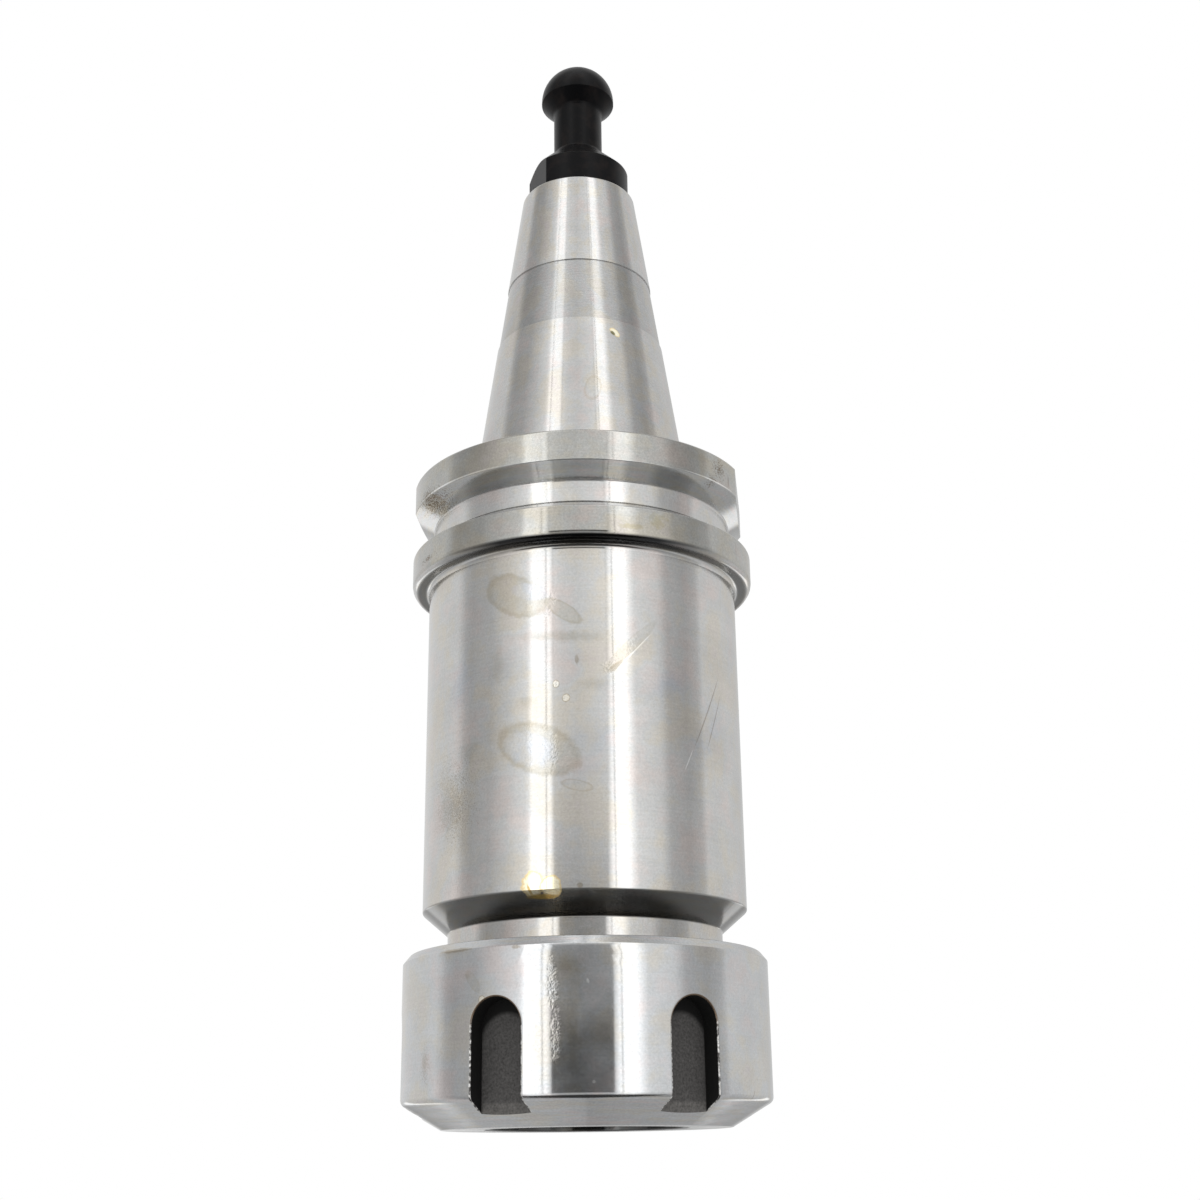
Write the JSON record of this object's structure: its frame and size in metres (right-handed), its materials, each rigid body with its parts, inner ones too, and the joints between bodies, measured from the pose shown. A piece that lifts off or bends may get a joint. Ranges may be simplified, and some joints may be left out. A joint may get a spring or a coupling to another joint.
{
  "type": "collet chuck holder",
  "caption": "Steep taper collet holder, size 30, with grooved gripper flange, slotted clamping nut and black round-headed pull stud, without a collet.",
  "frame": {"origin": "centre of the clamping nut's front face, on the floor it stands on", "axes": "+Z runs along the holder's axis from the nut's face to the pull stud's head; +X points at the middle of one of the nut's six slots, and +Y at the land between two of them"},
  "size_m": [0.05, 0.05, 0.1676],
  "materials": {
    "nut_steel": "hardened and turned, bluish grey, fine turning lines, small oil stains",
    "ground_steel": "hardened, turned and ground, dried oil stains and small rust pits",
    "black_oxide_steel": "satin black oxide"
  },
  "bodies": {
    "nut": {"clamping_nut": "nut_steel"},
    "holder": {"holder_body": "ground_steel", "pull_stud": "black_oxide_steel"}
  },
  "joints": [
    {"name": "nut_thread", "type": "slide", "parent": "nut", "child": "holder", "axis": [0, 0, 1], "range_m": [0, 0.012]}
  ]
}
